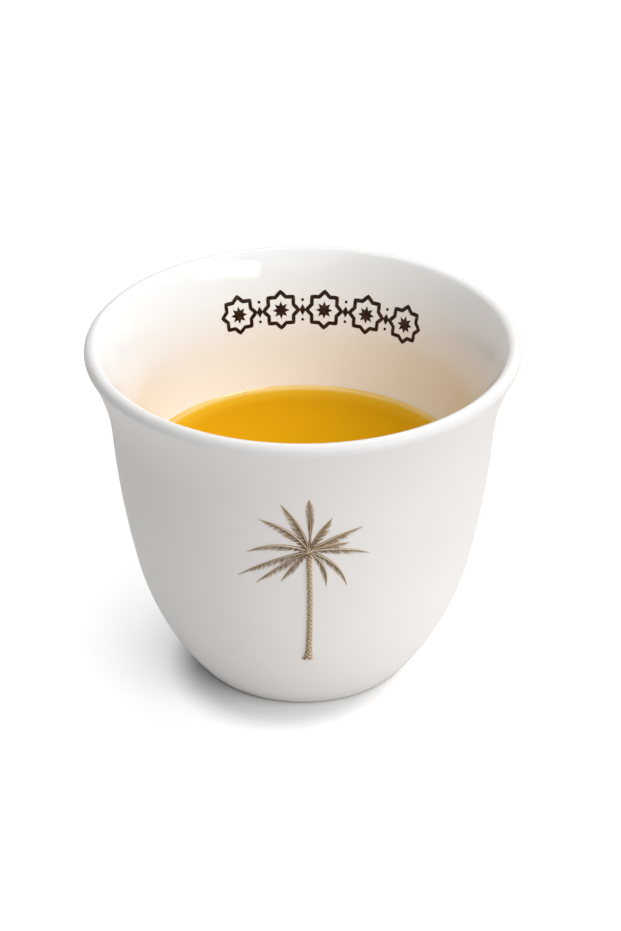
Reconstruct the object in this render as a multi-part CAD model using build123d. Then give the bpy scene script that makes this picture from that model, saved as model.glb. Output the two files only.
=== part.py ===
from build123d import *
import os
from math import cos, pi, radians, sin, sqrt

# A handleless porcelain coffee cup with a raised date palm on its front, holding coffee.
# Millimetres and degrees, +Z up, the origin at the middle of the resting plane, the palm facing -Y.

# Outside of the cup
RIM_DIAMETER = 66.0
HEIGHT = 54.8
NECK_DIAMETER = 58.5
NECK_HEIGHT = 40.3
NECK_LEAN = 3.7
BELLY_DIAMETER = 52.4
BELLY_HEIGHT = 18.6
FOOT_DIAMETER = 34.6
FOOT_ROUND = 0.7

# Walls and the foot's underside
WALL = 3.0
LIP_THICKNESS = 2.3
FLOOR_THICKNESS = 4.0
FLOOR_CORNER = 9.0
FOOT_RING_WIDTH = 3.0
RECESS_DEPTH = 1.8
RECESS_CORNER = 0.6

# Coffee: its level above the resting plane, and its climb where it wets the wall
COFFEE_LEVEL = 32.2
MENISCUS_RISE = 0.6
MENISCUS_REACH = 1.6

# Palm trunk and heart: heights above the resting plane, radii about a line on the wall
TRUNK_FOOT_HEIGHT = 13.6
TRUNK_FOOT_RADIUS = 1.05
TRUNK_RADIUS = 0.46
TRUNK_FLARE_POWER = 9
RING_COUNT = 24
RING_STEP = 0.05
RING_LAP = 0.12
HEART_HEIGHT = 35.2
HEART_RADIUS = 0.7
ROOT_GAP = 0.06
SEAT_GAP = 0.02

# Fronds in order round the heart: heading at the root, clockwise from up, then the tip's place
# beside and above the heart
FRONDS = {
    "palm_frond_left_6": (-136.0, -4.0, -5.6),
    "palm_frond_left_5": (-120.0, -7.6, -6.3),
    "palm_frond_left_4": (-104.0, -10.2, -5.4),
    "palm_frond_left_3": (-66.0, -8.9, -0.8),
    "palm_frond_left_2": (-30.0, -7.3, 5.3),
    "palm_frond_left_1": (-12.0, -4.1, 8.3),
    "palm_frond_top": (4.0, 0.0, 9.3),
    "palm_frond_right_1": (20.0, 3.4, 5.8),
    "palm_frond_right_2": (52.0, 7.8, 3.6),
    "palm_frond_right_3": (66.0, 5.8, 1.1),
    "palm_frond_right_4": (80.0, 8.7, -1.3),
    "palm_frond_right_5": (114.0, 5.5, -6.8),
    "palm_frond_right_6": (134.0, 2.5, -6.6),
}
RIB_WIDTH = 0.32
RIB_ROOT_WIDTH = 0.15
RIB_RELIEF = 0.45

# Leaflets along both edges of a rib: long ones hang below it, short ones stand above it, and
# both take only a share of the room between two ribs
LEAFLET_PITCH = 0.72
LEAFLET_LENGTH = 1.9
SHORT_LEAFLET_LENGTH = 0.9
LEAFLET_ROOM = 0.62
SHORT_LEAFLET_ROOM = 0.3
LEAST_REACH = 0.08
LEAFLET_ANGLE = 38.0
LEAFLET_FILL = 0.95
LEAFLET_SWELL_POWER = 1.3
LEAFLET_RELIEF = 0.28


def right_of(line, share, distance):
    """The point at a distance to the right of a line, at a share of its length."""
    along = line % share
    return (line @ share) + Vector(along.Y, -along.X) * distance


def beside(arc, distance):
    """The same rising arc moved outwards, away from the cup's axis, by a distance."""
    return ThreePointArc(*(right_of(arc, share, distance) for share in (0, 0.5, 1)))


def radius_at(arcs, height):
    """Distance from the cup's axis to a rising row of arcs, at a height."""
    arc = next(arc for arc in arcs if (arc @ 0).Y <= height <= (arc @ 1).Y)
    middle = arc.arc_center
    side = 1 if (arc @ 0.5).X > middle.X else -1
    return middle.X + side * sqrt(arc.radius**2 - (height - middle.Y) ** 2)


def turned(*lines):
    """The solid turned about the cup's axis from a closed outline of radii and heights."""
    return revolve(Plane.XZ * make_face(lines), Axis.Z)


def lip_middle():
    """The centre of the rolled lip's round section."""
    return Vector(RIM_DIAMETER / 2 - LIP_THICKNESS / 2, HEIGHT - LIP_THICKNESS / 2)


def rising_to(low, high, rising):
    """The arc from a low point up to a high point, where it ends in the given direction."""
    falling = TangentArc(high, low, tangent=rising * -1)
    return ThreePointArc(low, falling @ 0.5, high)


def flare(neck, rising, side):
    """The arc from the neck to the rolled lip, tangent to both: side 1 is outside, -1 inside."""
    lip = side * LIP_THICKNESS / 2
    span = neck - lip_middle()
    outward = Vector(rising.Y, -rising.X)
    bend = (span.length**2 - lip**2) / (2 * (lip - outward.dot(span)))
    bend_middle = neck + outward * bend
    lip_point = bend_middle + (lip_middle() - bend_middle) * (bend / (bend + lip))
    return TangentArc(neck, lip_point, tangent=rising)


def outer_arcs():
    """The outer wall from foot to lip: bowl, belly and flare, each tangent to the next."""
    neck = Vector(NECK_DIAMETER / 2, NECK_HEIGHT)
    widest = Vector(BELLY_DIAMETER / 2, BELLY_HEIGHT)
    foot = Vector(FOOT_DIAMETER / 2, 0)
    rising = Vector(sin(radians(NECK_LEAN)), cos(radians(NECK_LEAN)))
    belly = rising_to(widest, neck, rising)
    return [rising_to(foot, widest, belly % 0), belly, flare(neck, rising, 1)]


def inner_arcs(outer):
    """The inner wall from floor to lip: floor corner, bowl, belly and flare."""
    bowl, belly, _ = outer
    inner_belly = beside(belly, -WALL)
    floor = RECESS_DEPTH + FLOOR_THICKNESS
    bowl_middle = bowl.arc_center
    reach = bowl.radius - WALL - FLOOR_CORNER
    corner_height = floor + FLOOR_CORNER
    corner_radius = bowl_middle.X + sqrt(reach**2 - (corner_height - bowl_middle.Y) ** 2)
    corner_middle = Vector(corner_radius, corner_height)
    corner_end = corner_middle + (corner_middle - bowl_middle).normalized() * FLOOR_CORNER
    corner = TangentArc((corner_radius, floor), corner_end, tangent=(1, 0))
    inner_bowl = TangentArc(corner_end, inner_belly @ 0, tangent=corner % 1)
    return [corner, inner_bowl, inner_belly, flare(inner_belly @ 1, inner_belly % 1, -1)]


def cup_body(outer, inner):
    """The fired porcelain: wall, rolled lip, floor and a foot ring round a shallow recess."""
    floor_edge = inner[0] @ 0
    recess_edge = Vector(FOOT_DIAMETER / 2 - FOOT_RING_WIDTH, RECESS_DEPTH)
    lip_crest = lip_middle() + Vector(0, LIP_THICKNESS / 2)
    rolled_lip = ThreePointArc(outer[-1] @ 1, lip_crest, inner[-1] @ 1)
    underside = Polyline(
        floor_edge, (0, floor_edge.Y), (0, RECESS_DEPTH), recess_edge, (recess_edge.X, 0), outer[0] @ 0
    )
    body = turned(*outer, rolled_lip, *inner, *underside.edges())
    body = fillet(body.edges().group_by(Axis.Z)[0], FOOT_ROUND)
    circles = body.edges().filter_by(GeomType.CIRCLE)
    return fillet(circles.filter_by_position(Axis.Z, RECESS_DEPTH, RECESS_DEPTH), RECESS_CORNER)


def coffee(inner):
    """The drink: it fills the bowl to its level and climbs a little where it wets the wall."""
    floor_edge = inner[0] @ 0
    brim = inner[-1] @ 1
    inside = turned(*inner, *Polyline(brim, (0, brim.Y), (0, floor_edge.Y), floor_edge).edges())
    bend = (MENISCUS_REACH**2 + MENISCUS_RISE**2) / (2 * MENISCUS_RISE)
    level_end = Vector(radius_at(inner, COFFEE_LEVEL + MENISCUS_RISE) - MENISCUS_REACH, COFFEE_LEVEL)
    climb = JernArc(level_end, (1, 0), bend, 90)
    top = climb @ 1
    below = Polyline(top, (RIM_DIAMETER, top.Y), (RIM_DIAMETER, 0), (0, 0), (0, COFFEE_LEVEL), level_end)
    return inside & turned(climb, *below.edges())


def filled_form(seat):
    """The form inside the palm's seat as one full solid, which cuts the back off what lies on it."""
    foot = seat[0] @ 0
    brim = seat[-1] @ 1
    return turned(*seat, *Polyline(brim, (0, brim.Y), (0, foot.Y), foot).edges())


def wall_skin(seat, relief):
    """A skin over the whole seat, as thick as a relief."""
    raised = [beside(arc, relief) for arc in seat]
    foot_edge = Line(seat[0] @ 0, raised[0] @ 0)
    brim_edge = Line(seat[-1] @ 1, raised[-1] @ 1)
    return turned(*seat, *raised, foot_edge, brim_edge)


def raised_from(skin, drawing):
    """The front part of a skin that lies behind a flat drawing, seen from the front."""
    return skin & extrude(Plane.XZ * drawing, RIM_DIAMETER)


def seat_point(seat, height):
    """The point of the seat's front line at a height."""
    return Vector(0, -radius_at(seat, height), height)


def palm_trunk(seat):
    """The trunk: a stack of rings, each wider at its top, that spreads at the foot."""
    top_height = HEART_HEIGHT - HEART_RADIUS - ROOT_GAP
    ring_rise = (top_height - TRUNK_FOOT_HEIGHT) / RING_COUNT
    rings = []
    for number in range(RING_COUNT):
        low = seat_point(seat, TRUNK_FOOT_HEIGHT + number * ring_rise)
        high = seat_point(seat, TRUNK_FOOT_HEIGHT + (number + 1) * ring_rise)
        upwards = (high - low).normalized()
        spread = (1 - number / RING_COUNT) ** TRUNK_FLARE_POWER
        radius = TRUNK_RADIUS + (TRUNK_FOOT_RADIUS - TRUNK_RADIUS) * spread
        length = (high - low).length + RING_LAP
        ring = Cone(radius, radius + RING_STEP, length, align=(Align.CENTER, Align.CENTER, Align.MIN))
        rings.append(Plane(low - upwards * RING_LAP, z_dir=upwards) * ring)
    return (Part() + rings) - filled_form(seat)


def palm_heart(seat):
    """The knob on top of the trunk, where the fronds meet."""
    facing_front = Plane(seat_point(seat, HEART_HEIGHT), z_dir=(0, -1, 0))
    return facing_front * Sphere(HEART_RADIUS) - filled_form(seat)


def rib_line(heading, aside, above):
    """The middle line of a frond: an arc from beside the heart to its tip, heading clockwise from up."""
    start = Vector(sin(radians(heading)), cos(radians(heading)))
    heart = Vector(0, HEART_HEIGHT)
    root = heart + start * (HEART_RADIUS + ROOT_GAP)
    return TangentArc(root, heart + Vector(aside, above), tangent=start)


def rib_drawing(line):
    """A rib that swells from its narrow root and tapers to a point."""
    edges = []
    for side in (-1, 1):
        root = right_of(line, 0, side * RIB_ROOT_WIDTH / 2)
        swell = right_of(line, 0.5, side * RIB_WIDTH / 2)
        edges.append(ThreePointArc(root, swell, line @ 1))
    return make_face([*edges, Line(edges[0] @ 0, edges[1] @ 0)])


def leaflet_drawings(line, side, hanging, neighbour):
    """Pointed leaflets along one side of a rib, short of its neighbour: side 1 is right, -1 left."""
    longest = LEAFLET_LENGTH if hanging else SHORT_LEAFLET_LENGTH
    room_share = LEAFLET_ROOM if hanging else SHORT_LEAFLET_ROOM
    lean_along = cos(radians(LEAFLET_ANGLE))
    lean_across = sin(radians(LEAFLET_ANGLE))
    count = round(line.length / LEAFLET_PITCH)
    half_root = LEAFLET_FILL * line.length / count / 2
    drawings = []
    for number in range(1, count):
        share = number / count
        root = line @ share
        room = room_share * (neighbour.distance_to(root) - RIB_WIDTH)
        reach = min(room, lean_across * longest * sin(pi * share**LEAFLET_SWELL_POWER))
        if reach < LEAST_REACH:
            continue
        along = line % share
        across = Vector(along.Y, -along.X) * side
        tip = root + along * (reach * lean_along / lean_across) + across * reach
        corners = (root - along * half_root, root + along * half_root, tip)
        drawings.append(make_face(Polyline(*corners, close=True)))
    return drawings


def palm_frond(skins, line, neighbours, hangs_to):
    """One frond: a raised rib along a lower, feathered blade, whose long leaflets are on the side
    that it hangs to: 1 is right, -1 left, 0 neither."""
    rib_skin, blade_skin = skins
    left_neighbour, right_neighbour = neighbours
    rib = rib_drawing(line)
    left_leaflets = leaflet_drawings(line, -1, hangs_to == -1, left_neighbour)
    right_leaflets = leaflet_drawings(line, 1, hangs_to == 1, right_neighbour)
    blade = Sketch() + [rib, *left_leaflets, *right_leaflets]
    return raised_from(rib_skin, rib) + raised_from(blade_skin, blade)


def palm_fronds(seat):
    """All the fronds by name, each drawn between its neighbours round the heart."""
    skins = wall_skin(seat, RIB_RELIEF), wall_skin(seat, LEAFLET_RELIEF)
    trunk_line = Line((0, TRUNK_FOOT_HEIGHT), (0, HEART_HEIGHT - HEART_RADIUS))
    lines = [trunk_line, *(rib_line(*frond) for frond in FRONDS.values()), trunk_line]
    fronds = {}
    for number, (name, (_, aside, _)) in enumerate(FRONDS.items(), start=1):
        hangs_to = (aside > 0) - (aside < 0)
        neighbours = lines[number - 1], lines[number + 1]
        fronds[name] = palm_frond(skins, lines[number], neighbours, hangs_to)
    return fronds


def main():
    """Model every piece and write each to its own file."""
    outer = outer_arcs()
    inner = inner_arcs(outer)
    seat = [beside(arc, SEAT_GAP) for arc in outer]
    pieces = {
        "cup_body": cup_body(outer, inner),
        "coffee": coffee(inner),
        "palm_trunk": palm_trunk(seat),
        "palm_heart": palm_heart(seat),
        **palm_fronds(seat),
    }
    os.makedirs("parts", exist_ok=True)
    for name, shape in pieces.items():
        export_step(shape, f"parts/{name}.step")


main()
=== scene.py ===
"""The looks of a small porcelain coffee cup with a raised date palm, half full of golden coffee.

Metres, +Z up, the origin at the middle of the resting plane, the palm facing -Y.
"""

import logging
import math
from collections.abc import Iterable
from dataclasses import dataclass, field
from enum import Enum
from typing import Any, Optional, Union

import bpy
from bpy.types import Material, NodeSocket, NodeTree, Object
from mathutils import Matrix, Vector


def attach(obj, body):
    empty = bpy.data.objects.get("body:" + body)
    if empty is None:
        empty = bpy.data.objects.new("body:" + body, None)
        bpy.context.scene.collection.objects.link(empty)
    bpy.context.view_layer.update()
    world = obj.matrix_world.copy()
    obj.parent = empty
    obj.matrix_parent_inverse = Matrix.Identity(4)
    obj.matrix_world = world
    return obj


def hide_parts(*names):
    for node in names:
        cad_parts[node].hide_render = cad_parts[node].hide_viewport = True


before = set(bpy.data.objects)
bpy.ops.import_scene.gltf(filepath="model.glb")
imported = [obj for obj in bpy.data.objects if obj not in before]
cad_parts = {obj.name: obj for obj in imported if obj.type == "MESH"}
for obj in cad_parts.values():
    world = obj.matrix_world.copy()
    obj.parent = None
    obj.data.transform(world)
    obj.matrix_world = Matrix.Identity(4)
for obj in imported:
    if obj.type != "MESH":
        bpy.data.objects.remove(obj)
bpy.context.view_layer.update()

Colour = tuple[float, float, float]
Line = list[Vector]
Number = Union["Wire", float]
Numbers = dict[str, list[float]]

LOG = logging.getLogger("coffee_cup")
MM = 0.001
BODY = "root"
MATH_INPUTS = ("Value", "Value_001", "Value_002")
INPUT_TYPES = {int: "NodeSocketInt", float: "NodeSocketFloat", Object: "NodeSocketObject"}


class Slot(Enum):
    """The record's material slots."""

    PORCELAIN = "porcelain"
    COFFEE = "coffee"
    PALM_ENAMEL = "palm_enamel"


class Side(Enum):
    """A side of a frond's rib, seen from the front and from its root."""

    LEFT = -1
    RIGHT = 1

    def attribute(self) -> str:
        """The name of the leaflets' lengths on this side, on a rib's points."""
        return self.name.lower() + "_reach"


# Nodes


class Wire:
    """An output socket with arithmetic: an operation on it adds a Math node to its tree."""

    def __init__(self, canvas: "Canvas", socket: Optional[NodeSocket]) -> None:
        """Keep the socket and the canvas that its node stands on."""
        self.canvas = canvas
        self.socket = socket

    def other(self, key: str) -> "Wire":
        """Another output of the same node, by its identifier."""
        return Wire(self.canvas, Canvas.find(self.socket.node.outputs, key))

    def __add__(self, other: Number) -> "Wire":
        """This plus the other."""
        return self.canvas.math("ADD", self, other)

    def __radd__(self, other: float) -> "Wire":
        """The other plus this."""
        return self.canvas.math("ADD", other, self)

    def __sub__(self, other: Number) -> "Wire":
        """This minus the other."""
        return self.canvas.math("SUBTRACT", self, other)

    def __rsub__(self, other: float) -> "Wire":
        """The other minus this."""
        return self.canvas.math("SUBTRACT", other, self)

    def __mul__(self, other: Number) -> "Wire":
        """This times the other."""
        return self.canvas.math("MULTIPLY", self, other)

    def __rmul__(self, other: float) -> "Wire":
        """The other times this."""
        return self.canvas.math("MULTIPLY", other, self)

    def __truediv__(self, other: Number) -> "Wire":
        """This divided by the other."""
        return self.canvas.math("DIVIDE", self, other)

    def __pow__(self, other: Number) -> "Wire":
        """This to the power of the other."""
        return self.canvas.math("POWER", self, other)


class Canvas:
    """Adds nodes to one tree and links them."""

    def __init__(self, tree: NodeTree) -> None:
        """Start on a tree."""
        self.tree = tree

    @staticmethod
    def find(sockets: Iterable[NodeSocket], key: str) -> NodeSocket:
        """The socket with an identifier, or else a name, where an underscore may stand for a space."""
        keys = (key, key.replace("_", " "))
        return next(row for kind in ("identifier", "name") for row in sockets if getattr(row, kind) in keys)

    def add(
        self, kind: str, settings: Optional[dict[str, Any]] = None, out: str = "", **sockets: Any
    ) -> Wire:
        """Add one node, set it up and feed its sockets.

        Args:
            kind: The node's type.
            settings: Its own properties.
            out: The output to return, or the first one where it is empty.
            sockets: A number, vector, colour, wire or list of wires for each socket.

        Returns:
            The chosen output.
        """
        node = self.tree.nodes.new(kind)
        for name, value in (settings or {}).items():
            setattr(node, name, value)
        for key, value in sockets.items():
            self._feed(self.find(node.inputs, key), value)
        if not len(node.outputs):
            return Wire(self, None)
        return Wire(self, self.find(node.outputs, out) if out else node.outputs[0])

    def _feed(self, socket: NodeSocket, value: Any) -> None:
        """Link or set one input.

        Args:
            socket: The input.
            value: A wire, a list of wires, or what the socket holds by itself.
        """
        if isinstance(value, Wire):
            self.tree.links.new(value.socket, socket)
        elif isinstance(value, list):
            for wire in value:
                self.tree.links.new(wire.socket, socket)
        elif socket.type == "RGBA":
            socket.default_value = (*value, 1.0)
        else:
            socket.default_value = value

    def math(self, operation: str, *values: Number) -> Wire:
        """One Math node on wires and numbers."""
        return self.add("ShaderNodeMath", {"operation": operation}, **dict(zip(MATH_INPUTS, values)))

    def vector(self, operation: str, out: str = "Vector", **sockets: Any) -> Wire:
        """One Vector Math node."""
        return self.add("ShaderNodeVectorMath", {"operation": operation}, out, **sockets)

    def combined(self, x: Number, y: Number, z: Number) -> Wire:
        """A vector from three numbers."""
        return self.add("ShaderNodeCombineXYZ", X=x, Y=y, Z=z)

    def parted(self, vector: Wire) -> Wire:
        """The X of a vector, with Y and Z beside it."""
        return self.add("ShaderNodeSeparateXYZ", Vector=vector)

    def mixed(self, share: Wire, first: Any, second: Any) -> Wire:
        """A colour between two colours, by a share that is held between 0 and 1."""
        sockets = {"Factor_Float": share, "A_Color": first, "B_Color": second}
        return self.add("ShaderNodeMix", {"data_type": "RGBA"}, "Result_Color", **sockets)

    def rising(self, value: Wire, low: float, high: float) -> Wire:
        """A smooth step, from 0 at a low value to 1 at a high one."""
        settings = {"interpolation_type": "SMOOTHSTEP"}
        return self.add("ShaderNodeMapRange", settings, "Result", Value=value, From_Min=low, From_Max=high)

    def noise(self, place: Wire, size: float, detail: float = 2.0) -> Wire:
        """Noise from 0 to 1 with features of a size in metres."""
        return self.add("ShaderNodeTexNoise", out="Fac", Vector=place, Scale=1.0 / size, Detail=detail)

    def spot(self) -> Wire:
        """The place on the piece that a finish paints."""
        return self.add("ShaderNodeTexCoord", out="Object")

    def kept(self, attribute: str) -> Wire:
        """A number that the painted piece keeps on its points."""
        return self.add("ShaderNodeAttribute", {"attribute_name": attribute}, "Fac")

    def bumped(self, height: Wire, depth: float) -> Wire:
        """A normal that follows a height from 0 to 1, over a depth in metres."""
        return self.add("ShaderNodeBump", Height=height, Distance=depth, Strength=1.0)


class Recipe(Canvas):
    """A Geometry Nodes tree with named inputs, run once on a host and kept as a plain mesh."""

    def __init__(self, name: str, owner: Any, *fields: str, **more: float) -> None:
        """Make the tree and its inputs, where the field rib_width becomes the input Rib Width.

        Args:
            name: The tree's name.
            owner: The sub-assembly that holds the inputs' values.
            fields: The names of its fields.
            more: Further values by name.
        """
        super().__init__(bpy.data.node_groups.new(name, "GeometryNodeTree"))
        face = self.tree.interface
        for way in ("INPUT", "OUTPUT"):
            face.new_socket("Geometry", in_out=way, socket_type="NodeSocketGeometry")
        values = {**{row: getattr(owner, row) for row in fields}, **more}
        self.values = {row.replace("_", " ").title(): value for row, value in values.items()}
        self.keys: dict[str, str] = {}
        for label, value in self.values.items():
            socket = face.new_socket(label, in_out="INPUT", socket_type=INPUT_TYPES[type(value)])
            self.keys[label] = socket.identifier
        self.source = self.add("NodeGroupInput")

    def value(self, label: str) -> Wire:
        """A named input's wire."""
        return self.source.other(self.keys[label])

    def named(self, attribute: str) -> Wire:
        """A number kept on the geometry under a name."""
        return self.add("GeometryNodeInputNamedAttribute", Name=attribute)

    def store(self, geometry: Wire, attribute: str, value: Number) -> Wire:
        """Keep a number on every point under a name."""
        return self.add("GeometryNodeStoreNamedAttribute", Geometry=geometry, Name=attribute, Value=value)

    def place(self) -> Wire:
        """The X of each point's place, with Y and Z beside it."""
        return self.parted(self.add("GeometryNodeInputPosition"))

    def share(self) -> Wire:
        """The share of a curve's length at each of its points."""
        return self.add("GeometryNodeSplineParameter")

    def sampled(self, kind: str, value: Wire, index: Wire) -> Wire:
        """A value on the host's own points, by their number."""
        settings = {"data_type": kind}
        return self.add("GeometryNodeSampleIndex", settings, Geometry=self.source, Value=value, Index=index)

    def shaded(self, tone: Number, upwards: float, aside: float) -> Wire:
        """A tone with painted light: paler where faces look upwards and to the right, by these amounts."""
        facing = self.parted(self.add("GeometryNodeInputNormal"))
        return tone + upwards * facing.other("Z") + aside * facing

    def curve(self) -> Wire:
        """The host's lines as curves."""
        return self.add("GeometryNodeMeshToCurve", Mesh=self.source)

    def swept(self, curve: Wire, half_width: Number, sides: int) -> Wire:
        """A round-sectioned mesh along a curve, with closed ends."""
        profile = {"Profile_Curve": self.add("GeometryNodeCurvePrimitiveCircle", Resolution=sides)}
        return self.add("GeometryNodeCurveToMesh", Curve=curve, Scale=half_width, Fill_Caps=True, **profile)

    def joined(self, *pieces: Wire) -> Wire:
        """Several geometries as one."""
        return self.add("GeometryNodeJoinGeometry", Geometry=list(pieces))

    def welded(self, geometry: Wire, distance: Number) -> Wire:
        """A mesh whose points closer than a distance are one."""
        return self.add("GeometryNodeMergeByDistance", Geometry=geometry, Distance=distance)

    def shifted(self, geometry: Wire, **sockets: Any) -> Wire:
        """A geometry moved, turned or scaled as a whole."""
        return self.add("GeometryNodeTransform", Geometry=geometry, **sockets)

    def moved(self, geometry: Wire, **sockets: Wire) -> Wire:
        """A geometry with its points moved one by one, by their Position or an Offset."""
        return self.add("GeometryNodeSetPosition", Geometry=geometry, **sockets)

    def realized(self, geometry: Wire) -> Wire:
        """Instances as a plain mesh."""
        return self.add("GeometryNodeRealizeInstances", Geometry=geometry)

    def copied(self, points: Wire, piece: Wire, **sockets: Wire) -> Wire:
        """Copies of a piece on points, with their Rotation and Scale."""
        return self.add("GeometryNodeInstanceOnPoints", Points=points, Instance=piece, **sockets)

    def laid(self, drawing: Wire, start: Wire, direction: Any, relief: Wire) -> Wire:
        """Lay a flat drawing on the wall, along rays that meet it.

        Args:
            drawing: The flat geometry.
            start: Where each point's ray starts.
            direction: The ray's direction.
            relief: How far each point stands off the wall.

        Returns:
            The geometry on the wall.
        """
        sockets = {
            "Target_Geometry": self.add("GeometryNodeObjectInfo", out="Geometry", Object=self.value("Wall")),
            "Attribute": self.add("GeometryNodeInputNormal"),
            "Source_Position": start,
            "Ray_Direction": direction,
            "Ray_Length": 1.0,
        }
        ray = self.add("GeometryNodeRaycast", {"data_type": "FLOAT_VECTOR"}, "Hit Position", **sockets)
        raised = self.vector("SCALE", Vector=ray.other("Attribute"), Scale=relief)
        position = self.vector("ADD", Vector=ray, Vector_001=raised)
        return self.moved(self.realized(drawing), Position=position)

    def made(self, host: Object, geometry: Wire, material: Material, smooth: bool = True) -> Object:
        """End the tree, run it on a host and keep the result as its mesh.

        Args:
            host: An object that nothing has evaluated yet.
            geometry: What the tree has made.
            material: Its finish.
            smooth: Whether its faces are shaded smooth.

        Returns:
            The host, with a plain mesh and no modifier.
        """
        shaded = self.add("GeometryNodeSetShadeSmooth", Geometry=geometry, Shade_Smooth=smooth)
        dressed = self.add("GeometryNodeSetMaterial", Geometry=self.realized(shaded), Material=material)
        self.add("NodeGroupOutput", Geometry=dressed)
        modifier = host.modifiers.new(self.tree.name, "NODES")
        modifier.node_group = self.tree
        for label, value in self.values.items():
            modifier[self.keys[label]] = value
        graph = bpy.context.evaluated_depsgraph_get()
        evaluated = host.evaluated_get(graph)
        mesh = bpy.data.meshes.new_from_object(evaluated, preserve_all_data_layers=True, depsgraph=graph)
        host.modifiers.remove(modifier)
        host.data = mesh
        mesh.name = host.name
        return host


def linked(name: str, data: Any) -> Object:
    """A new object in the scene.

    Args:
        name: Its name.
        data: Its mesh, lamp or camera.

    Returns:
        The object.
    """
    made = bpy.data.objects.new(name, data)
    bpy.context.scene.collection.objects.link(made)
    return made


def wire_host(name: str, lines: list[Line], attributes: Optional[Numbers] = None) -> Object:
    """An object made only of lines, for a recipe to start from.

    Args:
        name: The object's name.
        lines: The points of each line.
        attributes: Numbers to keep on the points, by name.

    Returns:
        The object, linked to the scene.
    """
    mesh = bpy.data.meshes.new(name)
    points = [point for line in lines for point in line]
    edges = []
    start = 0
    for line in lines:
        edges += [(start + step, start + step + 1) for step in range(len(line) - 1)]
        start += len(line)
    mesh.from_pydata(points, edges, [])
    for label, numbers in (attributes or {}).items():
        mesh.attributes.new(label, "FLOAT", "POINT").data.foreach_set("value", numbers)
    return linked(name, mesh)


def upright(points: Iterable[Vector]) -> Line:
    """Points across and up a flat drawing as places in the frame."""
    return [Vector((point.x, 0.0, point.y)) for point in points]


def settle(piece: Object, slot: Slot, *nodes: str) -> Object:
    """Ride a finished piece on the cup and say what it stands for.

    Args:
        piece: The finished object.
        slot: The material slot that its finish belongs to; not used.
        nodes: The CAD nodes that it replaces.

    Returns:
        The piece.
    """
    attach(piece, BODY)
    if nodes:
        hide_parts(*nodes)
    LOG.info("%s: %d faces for %s", piece.name, len(piece.data.polygons), ", ".join(nodes) or "no node")
    return piece


# Finishes


class Finish:
    """A procedural finish that is built once and shared."""

    name: str

    def paint(self, canvas: Canvas) -> Wire:
        """The finish's shader."""
        raise NotImplementedError

    def material(self) -> Material:
        """The finish as a material, made at its first use.

        Returns:
            The material.
        """
        found = bpy.data.materials.get(self.name)
        if found:
            return found
        made = bpy.data.materials.new(self.name)
        made.use_nodes = True
        made.node_tree.nodes.clear()
        canvas = Canvas(made.node_tree)
        canvas.add("ShaderNodeOutputMaterial", Surface=self.paint(canvas))
        return made


@dataclass(frozen=True)
class GlazedPorcelain(Finish):
    """Warm white porcelain: satin outside, glossier inside, bare under the foot ring. Its colours hold
    painted light: paler towards the foot for the floor's bounce, paler and cooler inside against the coffee's
    warm bounce, and darker on the lip as painted shade.
    """

    name: str = "glazed_porcelain"
    outer_glaze: Colour = (0.825, 0.797, 0.779)
    foot_glaze_painted_bounce: Colour = (0.94, 0.916, 0.898)
    painted_bounce_run: tuple[float, float] = (6.0 * MM, 44.0 * MM)
    inner_glaze_painted_light: Colour = (0.93, 0.95, 0.965)
    lip_glaze_painted_shade: Colour = (0.78, 0.767, 0.753)
    cloud_glaze: Colour = (0.81, 0.79, 0.772)
    cloud_share: float = 0.3
    bare_clay: Colour = (0.72, 0.675, 0.61)
    worn_clay: Colour = (0.5, 0.47, 0.43)
    outer_roughness: float = 0.36
    inner_roughness: float = 0.14
    satin_specular: float = 0.1
    clear_coat: float = 0.6
    coat_roughness: float = 0.1
    roughness_play: float = 0.06
    bare_roughness: float = 0.85
    bare_height: float = 0.3 * MM
    cloud_size: float = 14.0 * MM
    ripple_size: float = 2.6 * MM
    ripple_depth: float = 0.004 * MM
    grain_size: float = 0.25 * MM

    def paint(self, canvas: Canvas) -> Wire:
        """The finish's shader.

        Args:
            canvas: The material's tree.

        Returns:
            The shader's output.
        """
        place = canvas.spot()
        height = canvas.parted(place).other("Z")
        inside = canvas.kept("inside")
        clouds = canvas.noise(place, self.cloud_size)
        # 1 half way over the lip, 0 on both walls
        on_lip = 4.0 * inside * (1.0 - inside)
        bare = 1.0 - canvas.rising(height, 0.5 * self.bare_height, self.bare_height)
        clay = canvas.mixed(canvas.noise(place, self.grain_size), self.bare_clay, self.worn_clay)
        # painted light: paler towards the foot, standing in for light bounced up from the floor
        colour = canvas.mixed(canvas.rising(height, *self.painted_bounce_run), self.foot_glaze_painted_bounce, self.outer_glaze)
        # painted light: the inside paler and cooler than the outside, against the coffee's warm bounce
        colour = canvas.mixed(inside, colour, self.inner_glaze_painted_light)
        # painted shade: the lip darker than the walls
        colour = canvas.mixed(on_lip, colour, self.lip_glaze_painted_shade)
        colour = canvas.mixed(clouds * self.cloud_share, colour, self.cloud_glaze)
        gloss = self.outer_roughness + (self.inner_roughness - self.outer_roughness) * inside
        gloss = gloss + (clouds - 0.5) * self.roughness_play
        return canvas.add(
            "ShaderNodeBsdfPrincipled",
            Base_Color=canvas.mixed(bare, colour, clay),
            Roughness=gloss + (self.bare_roughness - gloss) * bare,
            Specular_IOR_Level=self.satin_specular,
            Coat_Weight=inside * self.clear_coat,
            Coat_Roughness=self.coat_roughness,
            Normal=canvas.bumped(canvas.noise(place, self.ripple_size), self.ripple_depth),
        )


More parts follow.
